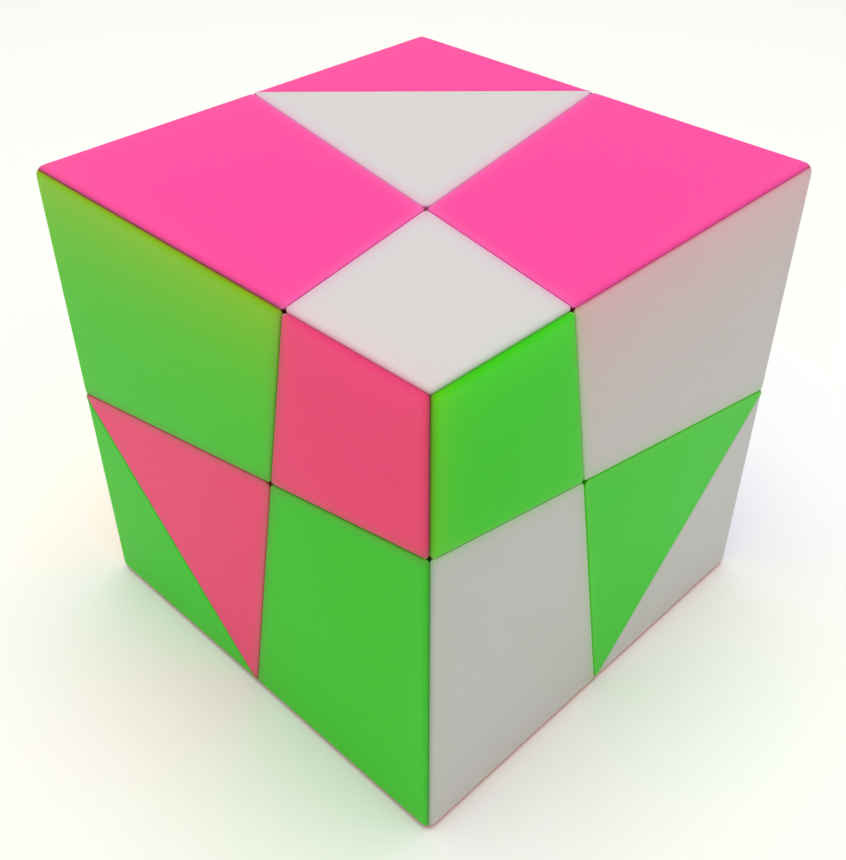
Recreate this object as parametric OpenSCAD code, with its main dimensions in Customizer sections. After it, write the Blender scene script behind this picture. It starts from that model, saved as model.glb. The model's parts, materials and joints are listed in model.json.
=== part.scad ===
// Four-axis corner-turning puzzle cube, millimetres, standing on its bottom face.
// Four cut planes pass through the centre of the cube, each square to one turning axis, and the
// half of the cube on either side of a plane turns about that axis. The axes point to the corners
// of a regular tetrahedron: one runs through a corner of the cube, and the others lean away from
// the cube's own diagonals, because the mechanism is set half a turn about that first diagonal.
// The planes part the cube into eight blocks, one at each corner of the cube, and six triangles,
// one in each face. Every piece is an inner frame that carries one moulded cap for each face.

/* [Cube] */
// Length of each side of the cube
side = 60; // [50:1:80]
// Radius of the rounding along the cube's edges
edge_r = 1.2; // [0.5:0.1:2.5]
// Gap between pieces that turn past each other
run_gap = 0.3; // [0.2:0.05:0.4]
// Gap between two caps of one piece, along the edges of the cube
seam_gap = 0.2; // [0.1:0.05:0.4]

/* [Caps] */
// Wall of each cap
cap_wall = 1.4; // [1:0.1:1.7]
// Clearance all round between a cap and the spigot that it is pushed on
cap_fit = 0.08; // [0.02:0.02:0.2]

/* [Frames] */
// Thickness of the feet that turn on the core
foot_t = 3.4; // [2.8:0.1:4.2]
// How far each foot reaches under the flange of its neighbour
interlock = 1.7; // [1:0.1:1.8]
// Thickness of the flanges that keep the feet in
flange_t = 1.6; // [1.2:0.1:2.2]
// Height of the spigots that the caps are pushed on
spigot_t = 3; // [2:0.1:3.6]

/* [Core] */
// Radius of the ball at the centre
core_r = 12; // [11.5:0.5:14]
// Radius of the four posts on the ball
post_r = 2.2; // [1.8:0.1:2.4]
// Running clearance all round a post
post_fit = 0.08; // [0.02:0.02:0.1]
// How far each post stops below the washer over it
post_drop = 0.5; // [0.3:0.1:0.8]

/* [Axle screws] */
// Radius of a screw's shank
screw_r = 1.25; // [1:0.05:1.4]
// Length of thread inside a post
screw_grip = 8; // [5:0.5:10]
// Radius of a screw's pan head
head_r = 2.6; // [2.4:0.1:2.9]
// Thickness of a screw's pan head
head_t = 1.6; // [1.2:0.1:2]
// Room between a screw's head and the inside of the cap over it
head_room = 0.8; // [0.5:0.1:1]
// Height of a washer's seat over the flange of its frame
seat_step = 0.8; // [0.4:0.1:1.2]
// Radius of a washer
washer_r = 2.9; // [2.8:0.05:3.1]
// Thickness of a washer
washer_t = 0.4; // [0.3:0.1:0.6]
// Clearance round a washer, in its well and on the shank
washer_fit = 0.15; // [0.1:0.05:0.2]
// Diameter of the spring's wire
spring_wire = 0.45; // [0.3:0.05:0.5]
// Number of turns in a spring
spring_turns = 3.5; // [2.5:0.5:4]

/* [Hidden] */
// The cube stands on the origin, so its centre is half a side up
CENTRE = [0, 0, side / 2];

// Faces of the cube: name and outward normal
TOP = ["top", [0, 0, 1]];
FRONT = ["front", [0, -1, 0]];
RIGHT = ["right", [1, 0, 0]];
LEFT = ["left", [-1, 0, 0]];
BACK = ["back", [0, 1, 0]];
BOTTOM = ["bottom", [0, 0, -1]];

// Moulding colours
WHITE = [0.88, 0.86, 0.85];
PINK = [1.0, 0.3, 0.6];
GREEN = [0.28, 0.75, 0.2];
YELLOW = [0.98, 0.85, 0.15];
BLUE = [0.1, 0.35, 0.8];
ORANGE = [1.0, 0.5, 0.1];
FRAME_GREY = [0.25, 0.25, 0.27];
CORE_GREY = [0.55, 0.55, 0.57];
STEEL = [0.7, 0.71, 0.73];

// Turning axes: the near corner's diagonal, and the other three after half a turn about it
DIAGONAL = [1, -1, 1] / sqrt(3);
function half_turn(v) = 2 * (v * DIAGONAL) * DIAGONAL - v;
AXES = [
    DIAGONAL,
    half_turn([1, 1, -1] / sqrt(3)),
    half_turn([-1, -1, -1] / sqrt(3)),
    half_turn([-1, 1, 1] / sqrt(3)),
];
AXIS_NAMES = ["near", "left", "back", "bottom"];

// Pieces: name, side of each cut plane that the piece lies on, and its faces with their colours
PIECES = [
    ["near_corner", [1, -1, -1, -1], [[TOP, WHITE], [FRONT, PINK], [RIGHT, GREEN]]],
    ["upper_left_front", [1, 1, -1, -1], [[TOP, PINK], [FRONT, GREEN], [LEFT, YELLOW]]],
    ["upper_right_back", [1, -1, 1, -1], [[TOP, PINK], [RIGHT, WHITE], [BACK, BLUE]]],
    ["lower_right_front", [1, -1, -1, 1], [[FRONT, GREEN], [RIGHT, WHITE], [BOTTOM, ORANGE]]],
    ["top_triangle", [1, 1, 1, -1], [[TOP, WHITE]]],
    ["front_triangle", [1, 1, -1, 1], [[FRONT, PINK]]],
    ["right_triangle", [1, -1, 1, 1], [[RIGHT, GREEN]]],
    ["far_corner", [-1, 1, 1, 1], [[LEFT, YELLOW], [BACK, BLUE], [BOTTOM, ORANGE]]],
    ["upper_left_back", [-1, 1, 1, -1], [[TOP, PINK], [LEFT, YELLOW], [BACK, BLUE]]],
    ["lower_left_front", [-1, 1, -1, 1], [[FRONT, GREEN], [LEFT, YELLOW], [BOTTOM, ORANGE]]],
    ["lower_right_back", [-1, -1, 1, 1], [[RIGHT, WHITE], [BACK, BLUE], [BOTTOM, ORANGE]]],
    ["left_triangle", [-1, 1, -1, -1], [[LEFT, YELLOW]]],
    ["back_triangle", [-1, -1, 1, -1], [[BACK, BLUE]]],
    ["bottom_triangle", [-1, -1, -1, 1], [[BOTTOM, ORANGE]]],
];
function cap_name(piece, shown) = str(piece[0], "_", shown[0][0], "_cap");
function frame_name(piece) = str(piece[0], "_frame");
function axle_name(i, thing) = str(AXIS_NAMES[i], "_", thing);

// Spherical layers about the centre, from the core outwards
foot_in = core_r + run_gap;
foot_out = foot_in + foot_t;
flange_in = foot_out + run_gap;
flange_out = flange_in + flange_t;
spigot_out = flange_out + spigot_t;

// Heights along a turning axis: the post stops just under the washer, which sits in its well
seat_h = flange_out + seat_step;
post_top = seat_h - post_drop;
spring_low = seat_h + washer_t;
well_r = washer_r + washer_fit;
// A leaning axis meets its face at this slope, which brings the cap closest to the head's rim
lean = acos(-AXES[1].x);
head_top = (side / 2 - cap_wall) / cos(lean) - head_r * tan(lean) - head_room;
head_seat = head_top - head_t;
spring_r = (screw_r + washer_r) / 2;
spring_slack = 0.02;

// Cross recess in a screw's head
recess_w = 0.6;
recess_l = 3;
recess_d = 0.8;

// Facets of a spring's wire: rings in each turn, and sides in each ring
turn_rings = 12;
wire_sides = 8;

// Blocks for half-spaces are this long, well past the corners of the cube
reach = 3 * side;
// Cutting shapes run this far past the surface they open
poke = 1;
$fn = 96;

// Moves children to the cube's centre
module at_centre() {
    translate(CENTRE) children();
}

// Turns children so that their +Z lies along dir
module along(dir) {
    rotate([0, acos(dir.z), atan2(dir.y, dir.x)]) children();
}

// Outline of the cube, seen square to any of its faces
module rounded_square() {
    square([side, side - 2 * edge_r], center = true);
    square([side - 2 * edge_r, side], center = true);
    for (x = [-1, 1], y = [-1, 1])
        translate([x, y] * (side / 2 - edge_r)) circle(edge_r);
}

// Bar with the cube's outline, as long as the cube and turned by angles
module rounded_bar(angles) {
    rotate(angles) linear_extrude(side, center = true) rounded_square();
}

// The whole cube with all twelve edges rounded
module rounded_cube() {
    intersection() {
        rounded_bar([0, 0, 0]);
        rounded_bar([90, 0, 0]);
        rounded_bar([0, 90, 0]);
    }
}

// Everything more than offset from the centre, measured along dir
module beyond(dir, offset) {
    along(dir) translate([-reach / 2, -reach / 2, offset]) cube(reach);
}

// The space on one side of all four cut planes, kept inset clear of them. With under above zero
// the planes sit that much below the centre, so a piece reaches under the neighbours it lies over.
module cell(signs, inset = 0, under = 0) {
    intersection_for (i = [0 : 3])
        beyond(signs[i] * AXES[i], run_gap / 2 + inset - signs[i] * under);
}

// Hollow ball between two radii
module layer(inner, outer) {
    difference() {
        sphere(outer);
        sphere(inner);
    }
}

// One moulded cap: an outer wall on its face and skirts along the cuts, open towards the core
module cap(piece, shown) {
    signs = piece[1];
    color(shown[1]) at_centre() difference() {
        intersection() {
            rounded_cube();
            cell(signs);
        }
        sphere(flange_out);
        intersection() {
            cube(side - 2 * cap_wall, center = true);
            cell(signs, inset = cap_wall);
        }
        // mitres against the caps of the same piece, through the edges of the cube
        for (other = piece[2])
            if (other != shown)
                beyond((other[0][1] - shown[0][1]) / sqrt(2), -seam_gap / 2);
    }
}

// Space for one axle through a fixed piece: a running bore, then a well for washer and spring
module axle_bore(i) {
    along(AXES[i]) {
        cylinder(r = post_r + post_fit, h = reach);
        translate([0, 0, seat_h]) cylinder(r = well_r, h = reach);
    }
}

// Room for the other three posts as they go round one axis. Each post leans a third of its length
// back from the plane square to that axis, so together they sweep out a cone.
module post_sweep(i) {
    lean_run = sqrt(8);
    apex = (post_r + post_fit) * 3 / lean_run;
    along(AXES[i]) translate([0, 0, apex - reach]) cylinder(h = reach, r1 = reach * lean_run, r2 = 0);
}

// Inner frame: a foot on the core, a flange over the neighbours' feet, and the caps' spigot
module frame(piece) {
    signs = piece[1];
    over = [for (i = [0 : 3]) if (signs[i] > 0) i];
    inset = cap_wall + cap_fit;
    color(FRAME_GREY) at_centre() difference() {
        union() {
            intersection() {
                layer(foot_in, foot_out);
                cell(signs, under = interlock);
            }
            intersection() {
                layer(foot_in, flange_out);
                cell(signs, under = interlock);
                cell(signs);
            }
            intersection() {
                layer(flange_in, flange_out);
                cell(signs);
            }
            intersection() {
                layer(flange_in, spigot_out);
                cube(side - 2 * inset, center = true);
                cell(signs, inset = inset);
            }
        }
        // its feet stay clear of the posts that they turn past
        for (i = over)
            post_sweep(i);
        // a piece over only one cut plane is held by that plane's axle
        if (len(over) == 1)
            axle_bore(over[0]);
    }
}

// Ball with four posts, drilled for the axle screws
module core() {
    color(CORE_GREY) at_centre() difference() {
        union() {
            sphere(core_r);
            for (axis = AXES)
                along(axis) cylinder(r = post_r, h = post_top);
        }
        for (axis = AXES)
            along(axis) translate([0, 0, post_top - screw_grip])
                cylinder(r = screw_r, h = screw_grip + poke);
    }
}

// Pan-head screw down one axis
module screw(i) {
    tip = post_top - screw_grip;
    color(STEEL) at_centre() along(AXES[i]) difference() {
        union() {
            translate([0, 0, tip]) cylinder(r = screw_r, h = head_seat - tip);
            translate([0, 0, head_seat]) cylinder(r = head_r, h = head_t);
        }
        for (quarter = [0, 90])
            rotate(quarter) translate([-recess_l / 2, -recess_w / 2, head_top - recess_d])
                cube([recess_l, recess_w, recess_d + poke]);
    }
}

// Washer in the bottom of a fixed piece's well
module washer(i) {
    color(STEEL) at_centre() along(AXES[i]) translate([0, 0, seat_h]) difference() {
        cylinder(r = washer_r, h = washer_t);
        translate([0, 0, -poke]) cylinder(r = screw_r + washer_fit, h = washer_t + 2 * poke);
    }
}

// Compression spring between washer and screw head: a round wire swept along a helix
module spring(i) {
    rings = round(turn_rings * spring_turns);
    low = spring_low + spring_wire / 2 + spring_slack;
    rise = head_seat - spring_wire / 2 - spring_slack - low;
    pitch_angle = atan(rise / (spring_turns * 360 * spring_r * PI / 180));
    points = [
        for (k = [0 : rings]) let (turn = 360 * spring_turns * k / rings)
            for (j = [0 : wire_sides - 1]) let (a = 360 * j / wire_sides, b = spring_wire / 2)
                [
                    (spring_r + b * cos(a)) * cos(turn) + b * sin(a) * sin(pitch_angle) * sin(turn),
                    (spring_r + b * cos(a)) * sin(turn) - b * sin(a) * sin(pitch_angle) * cos(turn),
                    low + rise * k / rings + b * sin(a) * cos(pitch_angle),
                ]
    ];
    sides = [
        for (k = [0 : rings - 1]) for (j = [0 : wire_sides - 1])
            let (n = (j + 1) % wire_sides, here = k * wire_sides, next = here + wire_sides)
                for (half = [[here + j, next + j, next + n], [here + j, next + n, here + n]]) half
    ];
    start = [for (j = [0 : wire_sides - 1]) j];
    finish = [for (j = [wire_sides - 1 : -1 : 0]) rings * wire_sides + j];
    color(STEEL) at_centre() along(AXES[i]) polyhedron(points, concat(sides, [start, finish]));
}

for (piece = PIECES) {
    for (shown = piece[2])
        cap(piece, shown);
    frame(piece);
}
core();
for (i = [0 : 3]) {
    screw(i);
    washer(i);
    spring(i);
}
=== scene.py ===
"""Looks of the corner-turning puzzle cube: rounded caps, turned hardware, floor, light and camera."""

import itertools
import json
import logging
import math
from dataclasses import dataclass
from enum import Enum
from typing import Any, Iterable, Optional, Sequence, Union

import bmesh
import bpy
from mathutils import Matrix, Vector


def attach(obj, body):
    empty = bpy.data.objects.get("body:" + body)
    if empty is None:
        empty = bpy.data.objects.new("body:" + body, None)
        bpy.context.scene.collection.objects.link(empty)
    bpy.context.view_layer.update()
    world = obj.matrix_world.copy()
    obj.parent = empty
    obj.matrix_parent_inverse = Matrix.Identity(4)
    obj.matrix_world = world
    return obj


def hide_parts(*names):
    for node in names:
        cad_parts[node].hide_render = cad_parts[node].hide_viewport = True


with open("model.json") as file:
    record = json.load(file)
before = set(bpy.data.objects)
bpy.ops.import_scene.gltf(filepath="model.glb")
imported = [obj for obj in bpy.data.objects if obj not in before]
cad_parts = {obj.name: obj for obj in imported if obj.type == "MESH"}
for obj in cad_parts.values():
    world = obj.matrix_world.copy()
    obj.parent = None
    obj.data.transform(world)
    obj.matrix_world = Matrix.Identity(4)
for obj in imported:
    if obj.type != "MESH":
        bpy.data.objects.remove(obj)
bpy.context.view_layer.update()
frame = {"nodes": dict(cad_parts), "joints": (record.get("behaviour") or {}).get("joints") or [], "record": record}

MM = 0.001
SNAP = 0.001 * MM      # a corner this near to a cut lies on it
WELD = 0.0001 * MM     # corners this near to each other are one
ALIGNED = 0.9999       # the cosine above which two directions are the same
LOG = logging.getLogger("puzzle_cube")

Colour = tuple[float, float, float]
Plane = tuple[Vector, Vector]


class Face(Enum):
    """A face of the cube, with its outward normal."""

    TOP = (0, 0, 1)
    FRONT = (0, -1, 0)
    RIGHT = (1, 0, 0)
    LEFT = (-1, 0, 0)
    BACK = (0, 1, 0)
    BOTTOM = (0, 0, -1)

    @property
    def normal(self) -> Vector:
        """The outward normal as a vector."""
        return Vector(self.value)


class Tint(Enum):
    """A moulding colour, as the linear colour of its plastic."""

    WHITE = (0.63, 0.605, 0.595)
    PINK = (0.98, 0.045, 0.315)
    GREEN = (0.028, 0.65, 0.003)
    YELLOW = (0.93, 0.64, 0.03)
    BLUE = (0.02, 0.11, 0.58)
    ORANGE = (1.0, 0.20, 0.012)


# Painted light: the caps on the sides get slightly warmer copies of the colours on top, standing in for the
# different light that falls on the sides.
SIDE_LIT_TINTS = {
    Tint.WHITE: (0.575, 0.56, 0.54),
    Tint.PINK: (1.0, 0.045, 0.185),
    Tint.GREEN: (0.026, 0.615, 0.002),
}


class Link:
    """One output socket of a shader, with arithmetic that adds Math nodes."""

    def __init__(self, shader: "Shader", socket: bpy.types.NodeSocket) -> None:
        """Wraps a socket.

        Args:
            shader: the shader that the socket's node is in.
            socket: the output socket.
        """
        self.shader = shader
        self.socket = socket

    def __add__(self, other: Union["Link", float]) -> "Link":
        """The sum."""
        return self.shader.maths("ADD", self, other)

    __radd__ = __add__

    def __sub__(self, other: Union["Link", float]) -> "Link":
        """The difference."""
        return self.shader.maths("SUBTRACT", self, other)

    def __rsub__(self, other: float) -> "Link":
        """The difference from a number."""
        return self.shader.maths("SUBTRACT", other, self)

    def __mul__(self, other: Union["Link", float]) -> "Link":
        """The product."""
        return self.shader.maths("MULTIPLY", self, other)

    __rmul__ = __mul__

    def __lt__(self, other: Union["Link", float]) -> "Link":
        """1 where this is the lesser, else 0."""
        return self.shader.maths("LESS_THAN", self, other)

    def exp(self) -> "Link":
        """e to this power."""
        return self.shader.maths("EXPONENT", self)


Input = Union[Link, float, Sequence[float]]


class Shader:
    """A material under construction."""

    def __init__(self, name: str) -> None:
        """Starts an empty material.

        Args:
            name: the material's name.
        """
        self.material = bpy.data.materials.new(name)
        self.material.use_nodes = True
        self.tree = self.material.node_tree
        self.tree.nodes.clear()

    def add(
        self, kind: str, settings: dict[str, Any], inputs: dict[Any, Input], output: Any = 0
    ) -> Optional[Link]:
        """Adds one node.

        Args:
            kind: the node's type, without the leading "ShaderNode".
            settings: the node's own settings, which are made first.
            inputs: the value or link for each input socket, by name or number.
            output: the output socket to return, by name or number.

        Returns:
            The chosen output of the new node, or None where the node has no output.
        """
        node = self.tree.nodes.new("ShaderNode" + kind)
        for name, value in settings.items():
            setattr(node, name, value)
        for name, value in inputs.items():
            if isinstance(value, Link):
                self.tree.links.new(value.socket, node.inputs[name])
            else:
                node.inputs[name].default_value = value
        return Link(self, node.outputs[output]) if node.outputs else None

    def maths(self, operation: str, *values: Union[Link, float]) -> Link:
        """Adds a Math node.

        Args:
            operation: the node's operation.
            values: its operands.

        Returns:
            The result.
        """
        return self.add("Math", {"operation": operation}, dict(enumerate(values)))

    def along(self, position: Link, direction: Vector) -> Link:
        """How far a position lies along a direction.

        Args:
            position: the position.
            direction: a unit vector.

        Returns:
            The distance in metres.
        """
        return self.add("VectorMath", {"operation": "DOT_PRODUCT"}, {0: position, 1: direction}, "Value")

    def mix(self, blend: str, factor: Input, under: Input, over: Input) -> Link:
        """Mixes two colours.

        Args:
            blend: how they mix, such as "MIX" or "ADD".
            factor: how much of the second colour.
            under: the first colour.
            over: the second colour.

        Returns:
            The mixed colour.
        """
        settings = {"data_type": "RGBA", "blend_type": blend}
        return self.add("Mix", settings, {0: factor, 6: under, 7: over}, 2)

    def noise(self, position: Link, size: float, detail: float = 2.0) -> Link:
        """Smooth noise between 0 and 1.

        Args:
            position: where to read it.
            size: the width of its features in metres.
            detail: the number of finer octaves.

        Returns:
            The noise.
        """
        inputs = {"Vector": position, "Scale": 1 / size, "Detail": detail, "Roughness": 0.5}
        return self.add("TexNoise", {}, inputs, "Fac")

    def place(self) -> Link:
        """The position on the piece, which doesn't change as the piece moves."""
        return self.add("TexCoord", {}, {}, "Object")

    def bump(self, height: Link) -> Link:
        """A normal bent by a height.

        Args:
            height: the height in metres.

        Returns:
            The normal.
        """
        return self.add("Bump", {}, {"Strength": 1.0, "Distance": 1.0, "Height": height})

    def finish(self, inputs: dict[str, Input]) -> bpy.types.Material:
        """Ends the material in one principled surface.

        Args:
            inputs: the surface's inputs by name.

        Returns:
            The material.
        """
        surface = self.add("BsdfPrincipled", {}, inputs)
        self.add("OutputMaterial", {}, {"Surface": surface})
        return self.material


def opaque(colour: Sequence[float]) -> tuple[float, float, float, float]:
    """A colour with full alpha."""
    return (colour[0], colour[1], colour[2], 1.0)


# What pink light turns into inside a cap: green plastic takes its blue away.
PINK_LIGHT = {Tint.GREEN: (1.5, 0.62, 0.0)}
PINK_LIGHT_ELSEWHERE = (1.7, 0.05, 0.2)

# What white light from above brings out in the two strong colours.
WHITE_LIGHT = {Tint.PINK: (2.0, 0.1, 0.36), Tint.GREEN: (0.1, 1.15, 0.0)}

# How strong each kind of painted light and painted shade is at its plane, and how far it reaches.
WHITE_FROM_TOP = (0.34, 3.2 * MM)
PINK_FROM_TOP_INTO_PALE = (0.17, 8 * MM)
PINK_FROM_TOP_INTO_DARK = (0.05, 5 * MM)
PINK_FROM_SIDE = (0.08, 2 * MM)
PLAIN_GLOW = (0.03, 2.5 * MM)
# Painted shade in the seams, in the other cap's colour.
SEAM_SHADE = (0.92, 0.2 * MM)
CUT_GLOW = (0.55, 0.6 * MM)


@dataclass(frozen=True)
class PaintedLight:
    """Painted light that a neighbouring cap sheds into a cap's colour, most at a plane between them and less with
    depth; along a seam it is painted shade.
    """

    plane: Plane
    colour: Colour
    strength: float
    reach: float
    blend: str = "MIX"

    @classmethod
    def glow(cls, cube: "Cube", source: Tint, source_face: Face, onto: Tint) -> "PaintedLight":
        """Light that comes through the cap over an edge of the cube, most of it from caps on top.

        Args:
            cube: the cube.
            source: the colour of the cap that the light comes through.
            source_face: the face of the cube that it is on.
            onto: the colour of the cap that the light falls in.

        Returns:
            The painted light.
        """
        plane = (cube.centre + cube.half * source_face.normal, source_face.normal)
        from_top = source_face is Face.TOP
        if source is Tint.WHITE and from_top and onto in WHITE_LIGHT:
            return cls(plane, WHITE_LIGHT[onto], *WHITE_FROM_TOP)
        if source is not Tint.PINK:
            return cls(plane, source.value, *PLAIN_GLOW)
        colour = PINK_LIGHT.get(onto, PINK_LIGHT_ELSEWHERE)
        if not from_top:
            return cls(plane, colour, *PINK_FROM_SIDE)
        if onto in (Tint.GREEN, Tint.WHITE):
            return cls(plane, colour, *PINK_FROM_TOP_INTO_PALE)
        return cls(plane, colour, *PINK_FROM_TOP_INTO_DARK)

    @classmethod
    def seam(cls, cube: "Cube", source: Tint, source_face: Face, face: Face) -> "PaintedLight":
        """Painted shade in the other cap's colour: the dark line where two caps of one block meet.

        Args:
            cube: the cube.
            source: the colour of the other cap.
            source_face: the face of the cube that the other cap is on.
            face: the face of the cube that this cap is on.

        Returns:
            The painted shade.
        """
        mitre = (source_face.normal - face.normal).normalized()
        return cls((cube.centre, mitre), source.value, *SEAM_SHADE, "MULTIPLY")

    @classmethod
    def across(cls, plane: Plane, source: Tint, onto: Tint) -> "PaintedLight":
        """Light that has passed through both caps at a cut between two blocks.

        Args:
            plane: the cut, with its normal towards the other block.
            source: the colour of the other block's cap.
            onto: the colour of this cap.

        Returns:
            The seepage.
        """
        both = [math.sqrt(one * other) for one, other in zip(source.value, onto.value)]
        return cls(plane, (both[0], both[1], both[2]), *CUT_GLOW)

    def add_to(self, shader: Shader, place: Link, colour: Input) -> Link:
        """Paints this light, or along a seam this shade, into a cap's colour.

        Args:
            shader: the cap's shader.
            place: the position on the cap.
            colour: the colour so far.

        Returns:
            The colour with this light or shade painted in.
        """
        point, normal = self.plane
        depth = normal.dot(point) - shader.along(place, normal)
        amount = (depth * (-1 / self.reach)).exp() * self.strength
        return shader.mix(self.blend, amount, colour, opaque(self.colour))


@dataclass(frozen=True)
class CapFinish:
    """Satin injection-moulded plastic of one cap."""

    tint: Tint
    face: Face
    # The neighbours' light and the seams' shade, painted into the base colour.
    seepages: tuple[PaintedLight, ...] = ()
    roughness: float = 0.36
    gloss: float = 0.2
    haze: float = 0.6
    haze_depth: float = 1.5 * MM
    grain: float = 0.35 * MM
    grain_depth: float = 0.0012 * MM
    sink: float = 14 * MM
    sink_depth: float = 0.012 * MM
    cloud_shade: float = 0.06
    cloud_tone: Colour = (0.8, 0.8, 0.8)
    cloud_roughness: float = 0.05
    grain_roughness: float = 0.04
    speck_spacing: float = 7 * MM
    speck_radius: float = 0.07 * MM
    speck_tone: Colour = (0.05, 0.04, 0.03)

    @property
    def pigment(self) -> Colour:
        """The cap's colour as lit on its face: its own colour on top, and on the sides a slightly warmer copy with
        the side light painted in.
        """
        if self.face is Face.TOP:
            return self.tint.value
        return SIDE_LIT_TINTS.get(self.tint, self.tint.value)

    def material(self, name: str) -> bpy.types.Material:
        """Makes the material.

        Args:
            name: the material's name.

        Returns:
            The material.
        """
        shader = Shader(name)
        place = shader.place()
        clouds = shader.noise(place, self.sink)
        grain = shader.noise(place, self.grain)
        # Base colour: the plastic as lit on its face, with the neighbours' light and the seams' shade painted in.
        colour: Input = opaque(self.pigment)
        for painted_light in self.seepages:
            colour = painted_light.add_to(shader, place, colour)
        colour = shader.mix("MULTIPLY", clouds * self.cloud_shade, colour, opaque(self.cloud_tone))
        colour = shader.mix("MIX", self.specks(shader, place), colour, opaque(self.speck_tone))
        rough = self.roughness + self.cloud_roughness * clouds + self.grain_roughness * grain
        height = clouds * self.sink_depth + grain * self.grain_depth
        return shader.finish({
            "Base Color": colour,
            "Roughness": rough,
            "Normal": shader.bump(height),
            "Specular IOR Level": self.gloss,
            "Subsurface Weight": self.haze,
            "Subsurface Radius": (1.0, 1.0, 1.0),
            "Subsurface Scale": self.haze_depth,
        })

    def specks(self, shader: Shader, place: Link) -> Link:
        """Sparse dark specks in the moulding.

        Args:
            shader: the shader.
            place: the position on the cap.

        Returns:
            1 in a speck, else 0.
        """
        settings = {"feature": "F1"}
        inputs = {"Vector": place, "Scale": 1 / self.speck_spacing, "Randomness": 1.0}
        near = shader.add("TexVoronoi", settings, inputs, "Distance")
        return near < self.speck_radius / self.speck_spacing


@dataclass(frozen=True)
class InnerPlastic:
    """Plain unpolished moulding of a part that the caps hide."""

    colour: Colour
    roughness: float = 0.5
    grain: float = 0.25 * MM
    grain_depth: float = 0.004 * MM
    grain_roughness: float = 0.12
    flow: float = 5 * MM
    flow_shade: float = 0.5
    flow_gain: float = 1.5
    flow_lift: float = 0.01

    def material(self, name: str) -> bpy.types.Material:
        """Makes the material.

        Args:
            name: the material's name.

        Returns:
            The material.
        """
        shader = Shader(name)
        place = shader.place()
        grain = shader.noise(place, self.grain, 4.0)
        flow = shader.noise(place, self.flow, 1.0)
        lighter = opaque([min(1.0, self.flow_gain * part + self.flow_lift) for part in self.colour])
        return shader.finish({
            "Base Color": shader.mix("MIX", flow * self.flow_shade, opaque(self.colour), lighter),
            "Roughness": self.roughness + self.grain_roughness * grain,
            "Normal": shader.bump(grain * self.grain_depth),
        })


@dataclass(frozen=True)
class PlatedSteel:
    """Zinc-plated steel with fine drawn lines."""

    colour: Colour = (0.58, 0.59, 0.62)
    roughness: float = 0.28
    line: float = 0.12 * MM
    line_depth: float = 0.002 * MM
    line_roughness: float = 0.15
    line_scale: Colour = (1.0, 1.0, 8.0)
    stain: float = 1.5 * MM
    stain_tone: Colour = (0.50, 0.47, 0.42)
    stain_shade: float = 0.35
    stain_roughness: float = 0.1

    def material(self, name: str) -> bpy.types.Material:
        """Makes the material.

        Args:
            name: the material's name.

        Returns:
            The material.
        """
        shader = Shader(name)
        place = shader.place()
        settings = {"vector_type": "POINT"}
        stretched = shader.add("Mapping", settings, {"Vector": place, "Scale": self.line_scale})
        lines = shader.noise(stretched, self.line, 3.0)
        stain = shader.noise(place, self.stain, 3.0)
        shade = stain * self.stain_shade
        rough = self.roughness + self.line_roughness * lines + self.stain_roughness * stain
        return shader.finish({
            "Base Color": shader.mix("MIX", shade, opaque(self.colour), opaque(self.stain_tone)),
            "Metallic": 1.0,
            "Roughness": rough,
            "Normal": shader.bump(lines * self.line_depth),
        })


@dataclass(frozen=True)
class FloorPaint:
    """Pale matt floor."""

    colour: Colour = (0.97, 0.965, 0.92)
    roughness: float = 0.9
    gloss: float = 0.1
    mottle: float = 60 * MM
    mottle_shade: float = 0.04
    mottle_tone: Colour = (0.9, 0.9, 0.9)

    def material(self, name: str) -> bpy.types.Material:
        """Makes the material.

        Args:
            name: the material's name.

        Returns:
            The material.
        """
        shader = Shader(name)
        shade = shader.noise(shader.place(), self.mottle, 3.0) * self.mottle_shade
        colour = shader.mix("MULTIPLY", shade, opaque(self.colour), opaque(self.mottle_tone))
        inputs = {"Base Color": colour, "Roughness": self.roughness, "Specular IOR Level": self.gloss}
        return shader.finish(inputs)


@dataclass(frozen=True)
class Cube:
    """The cube's own frame: its centre, half its side and its four turning axes."""

    centre: Vector
    half: float
    axes: tuple[Vector, ...]

    @classmethod
    def from_frame(cls) -> "Cube":
        """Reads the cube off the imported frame.

        Returns:
            The cube.
        """
        joint = frame["joints"][0]
        diagonal = Vector(joint["axis"]).normalized()
        axes = [diagonal]
        for kept in range(3):
            other = -diagonal
            other[kept] = diagonal[kept]
            axes.append(2 * other.dot(diagonal) * diagonal - other)
        centre = Vector(joint["pos_m"])
        right = max(vertex.co.x for node in frame["nodes"].values() for vertex in node.data.vertices)
        return cls(centre, right - centre.x, tuple(axes))

    def signs_at(self, point: Vector) -> tuple[int, ...]:
        """The side of each cut plane that a point lies on.

        Args:
            point: the point.

        Returns:
            1 or -1 for each axis.
        """
        return tuple(1 if axis.dot(point - self.centre) > 0 else -1 for axis in self.axes)

    def cuts(self, signs: Sequence[int], slide: float, inset: float = 0.0) -> list[Plane]:
        """The cut planes round one piece.

        Args:
            signs: the side of each cut plane that the piece lies on.
            slide: how far each cut's mark moves along an edge of the cube, the same for every cut, so
                that cuts which meet on an edge still do.
            inset: how far the piece then stays off each plane.

        Returns:
            A point and an outward normal for each plane.
        """
        planes = []
        for sign, axis in zip(signs, self.axes):
            clearance = slide * max(abs(part) for part in axis) + inset
            planes.append((self.centre + sign * clearance * axis, -sign * axis))
        return planes


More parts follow.
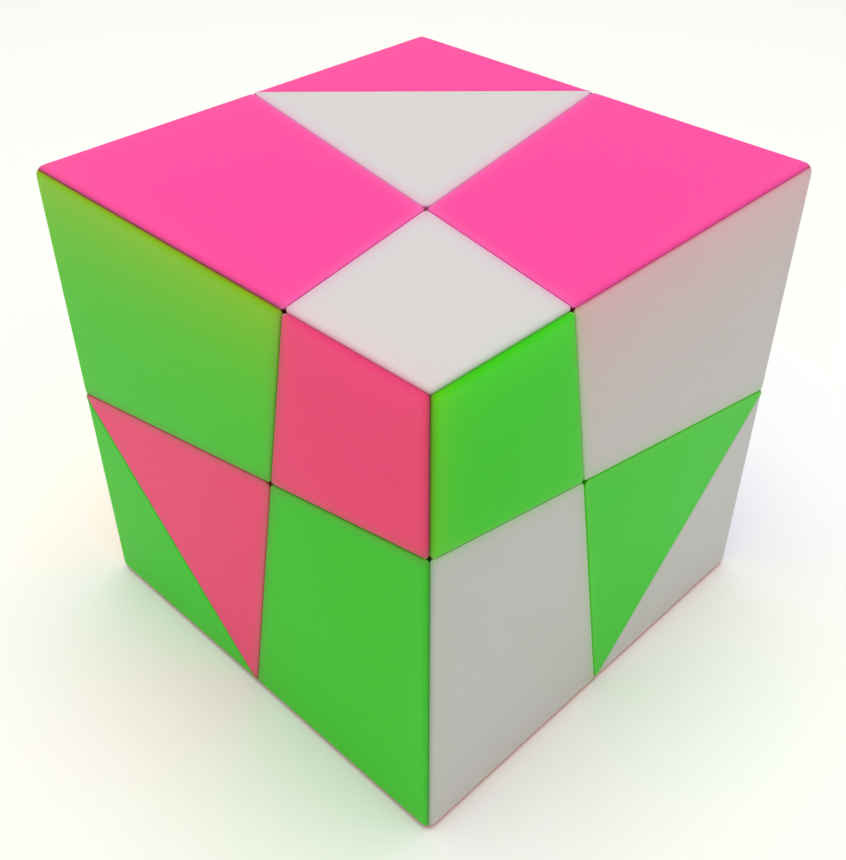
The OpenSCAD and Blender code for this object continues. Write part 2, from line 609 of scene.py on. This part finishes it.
class Body:
    """Mesh work on one closed convex body."""

    def __init__(self, mesh: bmesh.types.BMesh) -> None:
        """Takes over a mesh.

        Args:
            mesh: a closed mesh.
        """
        self.mesh = mesh

    @classmethod
    def box(cls, centre: Vector, half: float) -> "Body":
        """A cube-shaped body.

        Args:
            centre: its centre.
            half: half its side.

        Returns:
            The body.
        """
        mesh = bmesh.new()
        bmesh.ops.create_cube(mesh, size=2 * half)
        bmesh.ops.translate(mesh, vec=centre, verts=mesh.verts)
        return cls(mesh)

    def clip(self, plane: Plane) -> None:
        """Cuts off what lies beyond a plane and closes the cut.

        Args:
            plane: a point of the plane and its outward normal.
        """
        point, normal = plane
        everything = self.mesh.verts[:] + self.mesh.edges[:] + self.mesh.faces[:]
        cut = bmesh.ops.bisect_plane(
            self.mesh, geom=everything, dist=SNAP, plane_co=point, plane_no=normal, clear_outer=True
        )
        rim = [edge for edge in cut["geom_cut"] if isinstance(edge, bmesh.types.BMEdge)]
        if rim:
            bmesh.ops.contextual_create(self.mesh, geom=rim)
            bmesh.ops.recalc_face_normals(self.mesh, faces=self.mesh.faces[:])

    def ease(self, edges: Sequence[bmesh.types.BMEdge], width: float, segments: int) -> None:
        """Rounds a few edges by one small width.

        Args:
            edges: the edges.
            width: the width of the rounding on each side.
            segments: how many flats the rounding has.
        """
        bmesh.ops.bevel(
            self.mesh, geom=edges, offset=width, offset_type="OFFSET", segments=segments,
            profile=0.5, affect="EDGES", clamp_overlap=False,
        )

    @classmethod
    def loft(cls, loops: Sequence[Sequence[Vector]], closed: bool = False) -> "Body":
        """A body with a skin over a row of loops.

        Args:
            loops: the loops, each with as many points as the next.
            closed: whether the last loop joins the first, and no end is filled.

        Returns:
            The body.
        """
        mesh = bmesh.new()
        rows = [[mesh.verts.new(point) for point in loop] for loop in loops]
        following = rows[1:] + rows[:1] if closed else rows[1:]
        for row, beyond in zip(rows, following):
            for here, there in zip(range(-1, len(row) - 1), range(len(row))):
                mesh.faces.new((row[here], row[there], beyond[there], beyond[here]))
        if not closed:
            mesh.faces.new(rows[0])
            mesh.faces.new(rows[-1])
        bmesh.ops.recalc_face_normals(mesh, faces=mesh.faces[:])
        return cls(mesh)

    def to_object(self, name: str) -> bpy.types.Object:
        """Ends the mesh work.

        Args:
            name: the object's name.

        Returns:
            The object, linked to the scene.
        """
        if self.mesh.calc_volume(signed=True) < 0:
            bmesh.ops.reverse_faces(self.mesh, faces=self.mesh.faces[:])
        data = bpy.data.meshes.new(name)
        self.mesh.to_mesh(data)
        self.mesh.free()
        made = bpy.data.objects.new(name, data)
        bpy.context.scene.collection.objects.link(made)
        return made


def settled(shape: bpy.types.Object) -> bpy.types.Mesh:
    """The mesh of an object with its modifiers applied.

    Args:
        shape: the object.

    Returns:
        A new mesh.
    """
    graph = bpy.context.evaluated_depsgraph_get()
    return bpy.data.meshes.new_from_object(shape.evaluated_get(graph))


def discard(shape: bpy.types.Object) -> None:
    """Removes a helper object."""
    bpy.data.objects.remove(shape)


def cut_out(shape: bpy.types.Object, cutters: Iterable[bpy.types.Object]) -> None:
    """Takes solids away from an object.

    Args:
        shape: the object.
        cutters: the solids.
    """
    for cutter in cutters:
        cut = shape.modifiers.new("cut", "BOOLEAN")
        cut.operation = "DIFFERENCE"
        cut.solver = "MANIFOLD"
        cut.object = cutter
    shape.data = settled(shape)
    shape.data.materials.clear()
    shape.modifiers.clear()


def smooth(shape: bpy.types.Object, sharpest: float = math.radians(33)) -> None:
    """Shades rounded edges smoothly and keeps the rest sharp.

    Args:
        shape: the object.
        sharpest: the greatest angle at an edge that is still smooth.
    """
    mesh = bmesh.new()
    mesh.from_mesh(shape.data)
    bmesh.ops.remove_doubles(mesh, verts=mesh.verts, dist=WELD)
    for face in mesh.faces:
        face.smooth = True
    for edge in mesh.edges:
        edge.smooth = edge.is_manifold and edge.calc_face_angle() < sharpest
    mesh.to_mesh(shape.data)
    mesh.free()
    weighted = shape.modifiers.new("flat faces", "WEIGHTED_NORMAL")
    weighted.keep_sharp = True


@dataclass
class Moulding:
    """The sizes that every cap is moulded to."""

    cube: Cube
    cut_slide: float = 0.025 * MM
    seam_clearance: float = 0.006 * MM
    wall: float = 1.4 * MM
    edge_radius: float = 1.2 * MM
    lip_radius: float = 0.24 * MM
    flank_radius: float = 0.8 * MM
    seam_radius: float = 0.06 * MM
    corner_reach: float = 0.6 * MM
    corner_cuts: int = 4
    segments: int = 6
    seam_segments: int = 3
    stub: float = 7 * MM
    seat_clearance: float = 0.02 * MM
    ball_meridians: int = 90
    ball_rings: int = 49

    def rounded_block(self, name: str, signs: Sequence[int]) -> bpy.types.Mesh:
        """The solid block of one piece, before it is parted into caps.

        Args:
            name: a name for the mesh.
            signs: the side of each cut plane that the piece lies on.

        Returns:
            The block with all its outer edges rounded.
        """
        outward = sum((sign * axis for sign, axis in zip(signs, self.cube.axes)), Vector()).normalized()
        body = Body.box(self.cube.centre, self.cube.half)
        for plane in self.cube.cuts(signs, self.cut_slide):
            body.clip(plane)
        body.clip((self.cube.centre + self.stub * outward, -outward))
        widths = {edge.index: self.edge_width(edge, outward) for edge in self.indexed_edges(body.mesh)}
        widest = max(widths.values())
        layer = body.mesh.edges.layers.float.new("bevel_weight_edge")
        for edge in body.mesh.edges:
            edge[layer] = widths[edge.index] / widest
        shape = body.to_object(name)
        bevel = shape.modifiers.new("rounding", "BEVEL")
        bevel.width = widest
        bevel.limit_method = "WEIGHT"
        bevel.offset_type = "OFFSET"
        bevel.segments = self.segments
        bevel.use_clamp_overlap = False
        rounded = settled(shape)
        discard(shape)
        return rounded

    @staticmethod
    def indexed_edges(mesh: bmesh.types.BMesh) -> list[bmesh.types.BMEdge]:
        """The mesh's edges, with their numbers brought up to date."""
        mesh.edges.index_update()
        mesh.normal_update()
        return mesh.edges[:]

    def edge_width(self, edge: bmesh.types.BMEdge, outward: Vector) -> float:
        """How far an edge's rounding reaches over each face beside it.

        Args:
            edge: an edge of a block.
            outward: the block's direction from the cube's centre.

        Returns:
            The width in metres, or 0 where the edge stays sharp.
        """
        normals = [face.normal for face in edge.link_faces]
        if any(normal.dot(outward) < -ALIGNED for normal in normals):
            return 0.0
        outer = sum(max(abs(part) for part in normal) > ALIGNED for normal in normals)
        radius = (self.flank_radius, self.lip_radius, self.edge_radius)[outer]
        return radius * math.tan(normals[0].angle(normals[1]) / 2)

    def hollow(self, name: str, signs: Sequence[int]) -> bpy.types.Object:
        """The space inside the walls of one piece.

        Args:
            name: a name for the object.
            signs: the side of each cut plane that the piece lies on.

        Returns:
            The space as a solid.
        """
        body = Body.box(self.cube.centre, self.cube.half - self.wall)
        for plane in self.cube.cuts(signs, self.cut_slide, self.wall):
            body.clip(plane)
        return body.to_object(name)

    def ball(self, name: str, radius: float) -> bpy.types.Object:
        """The ball that the caps sit on, and that their inner ends are hollowed by.

        Args:
            name: a name for the object.
            radius: the radius of the caps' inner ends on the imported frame.

        Returns:
            The ball as a solid.
        """
        mesh = bmesh.new()
        turn = self.cube.axes[0].to_track_quat("Z", "Y").to_matrix().to_4x4()
        bmesh.ops.create_uvsphere(
            mesh, u_segments=self.ball_meridians, v_segments=self.ball_rings,
            radius=radius + self.seat_clearance, matrix=Matrix.Translation(self.cube.centre) @ turn,
        )
        return Body(mesh).to_object(name)

    def cap(
        self, name: str, block: bpy.types.Mesh, signs: Sequence[int], face: Face, others: Sequence[Face],
        cutters: Sequence[bpy.types.Object],
    ) -> bpy.types.Object:
        """Parts one cap from its block.

        Args:
            name: the cap's name.
            block: the rounded block.
            signs: the side of each cut plane that the block lies on.
            face: the cap's own face of the cube.
            others: the block's other faces.
            cutters: the solids to take away.

        Returns:
            The cap.
        """
        mesh = bmesh.new()
        mesh.from_mesh(block)
        body = Body(mesh)
        mitres = [(other.normal - face.normal).normalized() for other in others]
        for mitre in mitres:
            body.clip((self.cube.centre - self.seam_clearance * mitre, mitre))
        self.round_corners(body, mitres, [cut for _, cut in self.cube.cuts(signs, self.cut_slide)])
        body.ease(self.seam_edges(body.mesh, mitres), self.seam_radius, self.seam_segments)
        shape = body.to_object(name)
        cut_out(shape, cutters)
        smooth(shape)
        return shape

    def round_corners(self, body: Body, mitres: Sequence[Vector], cuts: Sequence[Vector]) -> None:
        """Rounds the corners of a cap where its mitre faces run into the cuts.

        Args:
            body: the cap.
            mitres: the outward normals of its mitre faces.
            cuts: the outward normals of the cuts round it.
        """
        corners = []
        for edge in self.indexed_edges(body.mesh):
            normals = [face.normal for face in edge.link_faces]
            for mitre, cut in itertools.product(mitres, cuts):
                if all(any(normal.dot(flat) > ALIGNED for normal in normals) for flat in (mitre, cut)):
                    corners.append((edge.verts[0].co.copy(), mitre, cut))
        for point, mitre, cut in corners:
            radius = self.corner_reach / math.tan(mitre.angle(cut) / 2)
            middle = point - radius * (mitre + cut) / (1 + mitre.dot(cut))
            for step in range(self.corner_cuts):
                normal = mitre.slerp(cut, (step + 1) / (self.corner_cuts + 1))
                body.clip((middle + radius * normal, normal))

    def seam_edges(self, mesh: bmesh.types.BMesh, mitres: Sequence[Vector]) -> list[bmesh.types.BMEdge]:
        """The edges of a cap along its seams with the other caps of its block.

        Args:
            mesh: the cap's mesh.
            mitres: the outward normals of its mitre faces.

        Returns:
            The edges that lie between a mitre face and the outside of the cap.
        """
        found = []
        for edge in self.indexed_edges(mesh):
            normals = [face.normal for face in edge.link_faces]
            on_mitre = sum(any(normal.dot(mitre) > ALIGNED for mitre in mitres) for normal in normals)
            outside = all((vertex.co - self.cube.centre).length > 2 * self.stub for vertex in edge.verts)
            if on_mitre == 1 and outside:
                found.append(edge)
        return found


@dataclass
class Block:
    """One outer piece of the puzzle, as the caps that it shows."""

    name: str
    body: str
    nodes: dict[Face, str]
    tints: dict[Face, Tint]
    signs: tuple[int, ...] = ()

    @classmethod
    def all_from_frame(cls, cube: Cube) -> list["Block"]:
        """Groups the frame's cap nodes into blocks.

        Args:
            cube: the cube that the blocks are parts of.

        Returns:
            The blocks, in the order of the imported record.
        """
        slots = {row["node"]: row["material_slot"] for row in frame["record"]["subparts"]}
        groups = frame["record"]["behaviour"]["bodies"]
        bodies = {node: body for body, nodes in groups.items() for node in nodes}
        blocks: dict[str, Block] = {}
        for node, slot in slots.items():
            if not node.endswith("_cap"):
                continue
            name, face_name, _ = node.rsplit("_", 2)
            block = blocks.setdefault(name, cls(name, bodies[node], {}, {}))
            face = Face[face_name.upper()]
            block.nodes[face] = node
            block.tints[face] = Tint[slot.removesuffix("_cap").upper()]
        for block in blocks.values():
            block.signs = cube.signs_at(block.middle())
        return list(blocks.values())

    def middle(self) -> Vector:
        """A point inside the block: the mean of its nodes' corners."""
        shapes = [frame["nodes"][node].data for node in self.nodes.values()]
        points = [vertex.co for shape in shapes for vertex in shape.vertices]
        return sum(points, Vector()) / len(points)

    def build(self, moulding: Moulding, ball: bpy.types.Object, blocks: Sequence["Block"]) -> None:
        """Builds and dresses the block's caps.

        Args:
            moulding: the sizes to mould to.
            ball: the ball that the caps sit on.
            blocks: all the blocks, for the colours of the neighbours.
        """
        solid = moulding.rounded_block(self.name + "_solid", self.signs)
        hollow = moulding.hollow(self.name + "_hollow", self.signs)
        for face, node in self.nodes.items():
            others = [other for other in self.nodes if other is not face]
            name = node.removesuffix("_cap") + "_shell"
            cap = moulding.cap(name, solid, self.signs, face, others, [hollow, ball])
            finish = CapFinish(self.tints[face], face, tuple(self.seepages(face, moulding.cube, blocks)))
            cap.data.materials.append(finish.material(name + "_plastic"))
            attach(cap, self.body)
            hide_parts(node)
            LOG.info("%s: %d faces, %s", cap.name, len(cap.data.polygons), self.tints[face].name.lower())
        discard(hollow)

    def seepages(self, face: Face, cube: Cube, blocks: Sequence["Block"]) -> Iterable[PaintedLight]:
        """The light and shade that the neighbours paint into one cap.

        Args:
            face: the cap's face.
            cube: the cube.
            blocks: all the blocks.

        Yields:
            The painted light and seam shade over the cube's edges, then the painted light across the cuts inside
            the block's own half.
        """
        own = self.tints[face]
        for other, tint in self.tints.items():
            if other is not face:
                yield PaintedLight.glow(cube, tint, other, own)
                yield PaintedLight.seam(cube, tint, other, face)
        for neighbour in blocks:
            turned = [index for index, sign in enumerate(self.signs) if neighbour.signs[index] != sign]
            differs = neighbour.tints.get(face, own) is not own
            if len(turned) == 1 and neighbour.body == self.body and differs:
                outward = -self.signs[turned[0]] * cube.axes[turned[0]]
                yield PaintedLight.across((cube.centre, outward), neighbour.tints[face], own)


@dataclass
class Turning:
    """Where a part of an axle lies about its axis, as measured on the frame's own node."""

    points: list[tuple[float, float]]

    @classmethod
    def of_node(cls, node: str, cube: Cube, axis: Vector) -> "Turning":
        """Measures a node.

        Args:
            node: the node's name.
            cube: the cube.
            axis: the turning axis.

        Returns:
            The height and radius of each of the node's corners.
        """
        arms = [vertex.co - cube.centre for vertex in frame["nodes"][node].data.vertices]
        return cls([(arm.dot(axis), arm.cross(axis).length) for arm in arms])

    @property
    def low(self) -> float:
        """The lower end."""
        return min(height for height, _ in self.points)

    @property
    def high(self) -> float:
        """The upper end."""
        return max(height for height, _ in self.points)

    @property
    def inner(self) -> float:
        """The least radius."""
        return min(radius for _, radius in self.points)

    @property
    def outer(self) -> float:
        """The greatest radius."""
        return max(radius for _, radius in self.points)

    def outer_at(self, height: float) -> float:
        """The greatest radius at a height."""
        return max(radius for at, radius in self.points if abs(at - height) < 0.01 * MM)

    def lowest_beyond(self, least: float) -> float:
        """The lowest height at which the radius is more than a given one."""
        return min(height for height, radius in self.points if radius > least)


@dataclass
class Axle:
    """The screw, washer and spring on one turning axis."""

    name: str
    axis: Vector
    cube: Cube
    body: str
    sides: int = 40
    thread_pitch: float = 0.9 * MM
    thread_depth: float = 0.25 * MM
    thread_length: float = 8 * MM
    rings_per_pitch: int = 8
    fillet: float = 0.15 * MM
    least_seat: float = 0.1 * MM
    dome_step: int = 15
    dome_fullness: float = 0.6
    dome_taper: float = 0.45
    recess_half_width: float = 0.3 * MM
    recess_half_length: float = 1.5 * MM
    recess_depth: float = 0.8 * MM
    recess_taper: float = 0.6
    washer_edge_share: float = 0.2
    coils: float = 3.5
    resting_coils: float = 0.75
    wire_sides: int = 14
    rings_per_coil: int = 32

    def build(self, steel: bpy.types.Material) -> None:
        """Builds and dresses the three parts.

        Args:
            steel: the material for all three.
        """
        makers = {"screw": self.screw, "washer": self.washer, "spring": self.spring}
        for part, make in makers.items():
            node = f"{self.name}_{part}"
            shape = make(node + "_turned", Turning.of_node(node, self.cube, self.axis))
            smooth(shape)
            shape.data.materials.append(steel)
            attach(shape, self.body)
            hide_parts(node)
            LOG.info("%s: %d faces, steel", shape.name, len(shape.data.polygons))

    def lean(self, body: Body) -> Body:
        """Leans a body from upright at the origin onto the axis.

        Args:
            body: the body.

        Returns:
            The same body.
        """
        turn = self.axis.to_track_quat("Z", "Y").to_matrix().to_4x4()
        place = Matrix.Translation(self.cube.centre) @ turn
        bmesh.ops.transform(body.mesh, matrix=place, verts=body.mesh.verts)
        return body

    def ring(self, height: float, radius: float, thread: float = 0.0) -> list[Vector]:
        """A ring of points about the upright.

        Args:
            height: its height.
            radius: its radius at the crest of the thread.
            thread: how deep the thread is cut at this height.

        Returns:
            The points.
        """
        points = []
        for step in range(self.sides):
            share = step / self.sides
            groove = abs((height / self.thread_pitch - share) % 1.0 - 0.5) * 2
            at = radius - thread * groove
            angle = share * math.tau
            points.append(Vector((at * math.cos(angle), at * math.sin(angle), height)))
        return points

    def screw(self, name: str, span: Turning) -> bpy.types.Object:
        """A pan-head screw with a cut thread and a cross recess.

        Args:
            name: the object's name.
            span: where the screw lies.

        Returns:
            The screw.
        """
        shank = span.outer_at(span.low)
        head = span.outer
        seat = span.lowest_beyond(shank + self.least_seat)
        rings = self.thread(span.low, shank)
        rings.append(self.ring(seat - self.fillet, shank))
        rings.append(self.ring(seat, shank + self.fillet))
        rings.append(self.ring(seat, head - self.fillet))
        rings.extend(self.dome(seat, span.high, head))
        shape = self.lean(Body.loft(rings)).to_object(name)
        recess = self.recess(span.high)
        cut_out(shape, [recess])
        discard(recess)
        return shape

    def thread(self, low: float, crest: float) -> list[list[Vector]]:
        """The thread of a screw, which runs out over its last turn.

        Args:
            low: the height of the screw's end.
            crest: the radius of the thread's crest.

        Returns:
            The rings.
        """
        lead = self.thread_depth
        steps = round(self.thread_length / self.thread_pitch * self.rings_per_pitch)
        rings = [self.ring(low, crest - self.thread_depth - lead)]
        for step in range(steps + 1):
            height = low + lead + (self.thread_length - lead) * step / steps
            left = min(1.0, (steps - step) / self.rings_per_pitch)
            rings.append(self.ring(height, crest, self.thread_depth * left))
        return rings

    def dome(self, seat: float, top: float, head: float) -> list[list[Vector]]:
        """The rounded side and crown of a screw's head.

        Args:
            seat: the height of the head's underside.
            top: the height of its top.
            head: its radius.

        Returns:
            The rings.
        """
        rings = []
        for degrees in range(-90, 91, self.dome_step):
            angle = math.radians(degrees)
            lift = 0.5 + 0.5 * math.sin(angle)
            bulge = math.cos(angle) ** self.dome_fullness if abs(degrees) < 90 else 0.0
            crown = 1.0 if degrees < 0 else 1.0 - self.dome_taper * math.sin(angle) ** 2
            radius = (head - self.fillet) * crown + self.fillet * bulge
            rings.append(self.ring(seat + (top - seat) * lift, radius))
        return rings

    def recess(self, top: float) -> bpy.types.Object:
        """The cross that is cut into a screw's head, narrower at its bottom.

        Args:
            top: the height of the head's top.

        Returns:
            The cross as a solid.
        """
        loops = []
        depth = self.recess_depth
        for rise, share in ((-depth, self.recess_taper), (0.0, 1.0), (depth, 1.0)):
            wide = self.recess_half_width * share
            long = self.recess_half_length * share
            quarter = [(long, -wide), (long, wide), (wide, wide)]
            loops.append([
                Vector((x * cosine - y * sine, x * sine + y * cosine, top + rise))
                for cosine, sine in ((1, 0), (0, 1), (-1, 0), (0, -1)) for x, y in quarter
            ])
        return self.lean(Body.loft(loops)).to_object("recess")

    def washer(self, name: str, span: Turning) -> bpy.types.Object:
        """A flat washer with its edges rounded by the press.

        Args:
            name: the object's name.
            span: where the washer lies.

        Returns:
            The washer.
        """
        edge = (span.high - span.low) * self.washer_edge_share
        outline = [
            (span.inner, span.low + edge),
            (span.inner, span.high - edge),
            (span.inner + edge, span.high),
            (span.outer - edge, span.high),
            (span.outer, span.high - edge),
            (span.outer, span.low + edge),
            (span.outer - edge, span.low),
            (span.inner + edge, span.low),
        ]
        sections = []
        steps = 2 * self.sides
        for step in range(steps):
            angle = math.tau * step / steps
            sections.append([Vector((r * math.cos(angle), r * math.sin(angle), h)) for r, h in outline])
        return self.lean(Body.loft(sections, closed=True)).to_object(name)

    def spring(self, name: str, span: Turning) -> bpy.types.Object:
        """A compression spring of round wire, whose end coils lie closer than the rest.

        Args:
            name: the object's name.
            span: where the spring lies.

        Returns:
            The spring.
        """
        wire = (span.outer - span.inner) / 2
        middle = (span.outer + span.inner) / 2
        rise = span.high - span.low - 2 * wire
        rest_rise = 2 * wire * self.resting_coils
        steps = round(self.coils * self.rings_per_coil)
        upright = Vector((0.0, 0.0, 1.0))
        turns = [math.tau * side / self.wire_sides for side in range(self.wire_sides)]
        loops = []
        for step in range(steps + 1):
            coil = self.coils * step / steps
            from_end = min(coil, self.coils - coil)
            if from_end < self.resting_coils:
                climb = 2 * wire * from_end
            else:
                active = (from_end - self.resting_coils) / (self.coils - 2 * self.resting_coils)
                climb = rest_rise + active * (rise - 2 * rest_rise)
            height = span.low + wire + (climb if coil <= self.coils / 2 else rise - climb)
            across = Vector((math.cos(coil * math.tau), math.sin(coil * math.tau), 0.0))
            centre = middle * across + height * upright
            loops.append([centre + wire * (math.cos(a) * across + math.sin(a) * upright) for a in turns])
        return self.lean(Body.loft(loops)).to_object(name)


class Mechanism:
    """The parts inside the caps: steel axles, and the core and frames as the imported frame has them."""

    plastics = {
        "frame": InnerPlastic((0.05, 0.05, 0.055)),
        "core": InnerPlastic((0.26, 0.26, 0.28), roughness=0.45),
    }

    def build(self, cube: Cube) -> None:
        """Builds the axles and dresses the mouldings.

        Args:
            cube: the cube.
        """
        steel = PlatedSteel().material("plated_steel")
        bodies = frame["record"]["behaviour"]["bodies"]
        for name, axis in zip(("near", "left", "back", "bottom"), cube.axes):
            body = next(body for body, nodes in bodies.items() if name + "_screw" in nodes)
            Axle(name, axis, cube, body).build(steel)
        made = {slot: finish.material(slot + "_plastic") for slot, finish in self.plastics.items()}
        for row in frame["record"]["subparts"]:
            material = made.get(row["material_slot"])
            if material is None:
                continue
            node = frame["nodes"][row["node"]]
            node.data.materials.clear()
            node.data.materials.append(material)
            LOG.info("%s: dressed as %s", row["node"], row["material_slot"])


@dataclass
class Studio:
    """Pale floor, soft light and camera."""

    cube: Cube
    floor_radius: float = 3.0
    floor_segments: int = 96
    floor_drop: float = 0.05 * MM
    sky_colour: Colour = (1.0, 1.0, 1.0)
    sky_strength: float = 0.60
    softbox_size: float = 0.6
    softbox_height: float = 0.7
    softbox_power: float = 3.0
    camera_azimuth: float = math.radians(44.49)
    camera_elevation: float = math.radians(37.86)
    camera_distance_in_sides: float = 2.3003
    aim_in_sides: Colour = (0.0334, -0.0389, -0.0658)
    lens_mm: float = 46.51
    sensor_mm: float = 36.0
    nearest: float = 10 * MM

    def build(self) -> None:
        """Makes the floor, the lights and the camera."""
        self.make_floor()
        self.make_sky()
        self.make_softbox()
        self.make_camera()

    def make_floor(self) -> None:
        """Makes a round floor under the cube."""
        mesh = bmesh.new()
        bmesh.ops.create_circle(
            mesh, cap_ends=True, segments=self.floor_segments, radius=self.floor_radius
        )
        floor = Body(mesh).to_object("floor")
        floor.location.z = -self.floor_drop
        floor.data.materials.append(FloorPaint().material("floor_paint"))

    def make_sky(self) -> None:
        """Makes the even light from all round."""
        world = bpy.data.worlds.new("studio")
        world.use_nodes = True
        background = world.node_tree.nodes["Background"]
        background.inputs["Color"].default_value = opaque(self.sky_colour)
        background.inputs["Strength"].default_value = self.sky_strength
        bpy.context.scene.world = world

    def make_softbox(self) -> None:
        """Makes the soft light overhead."""
        light = bpy.data.lights.new("softbox", "AREA")
        light.shape = "DISK"
        light.size = self.softbox_size
        light.energy = self.softbox_power
        lamp = bpy.data.objects.new("softbox", light)
        lamp.location = self.cube.centre + Vector((0, 0, self.softbox_height))
        bpy.context.scene.collection.objects.link(lamp)

    def make_camera(self) -> None:
        """Makes the camera, near the corner that the turning axis runs through."""
        side = 2 * self.cube.half
        level = math.cos(self.camera_elevation)
        back = Vector((
            math.sin(self.camera_azimuth) * level,
            -math.cos(self.camera_azimuth) * level,
            math.sin(self.camera_elevation),
        ))
        aim = self.cube.centre + side * Vector(self.aim_in_sides)
        data = bpy.data.cameras.new("camera")
        data.lens = self.lens_mm
        data.sensor_width = self.sensor_mm
        data.clip_start = self.nearest
        camera = bpy.data.objects.new("camera", data)
        camera.location = aim + self.camera_distance_in_sides * side * back
        camera.rotation_mode = "QUATERNION"
        camera.rotation_quaternion = (-back).to_track_quat("-Z", "Y")
        bpy.context.scene.collection.objects.link(camera)
        bpy.context.scene.camera = camera
        bpy.context.scene.view_settings.view_transform = "Standard"


def flange_radius(cube: Cube, blocks: Sequence[Block]) -> float:
    """The radius of the ball that the caps sit on: the least distance of a cap node from the centre.

    Args:
        cube: the cube.
        blocks: the blocks whose nodes are measured.

    Returns:
        The radius in metres.
    """
    nodes = [frame["nodes"][node] for block in blocks for node in block.nodes.values()]
    return min((vertex.co - cube.centre).length for node in nodes for vertex in node.data.vertices)


def main() -> None:
    """Builds the puzzle and the studio."""
    logging.basicConfig(level=logging.INFO, format="%(message)s")
    cube = Cube.from_frame()
    blocks = Block.all_from_frame(cube)
    moulding = Moulding(cube)
    ball = moulding.ball("seat_ball", flange_radius(cube, blocks))
    for block in blocks:
        block.build(moulding, ball, blocks)
    discard(ball)
    Mechanism().build(cube)
    Studio(cube).build()


if __name__ == "__main__":
    main()
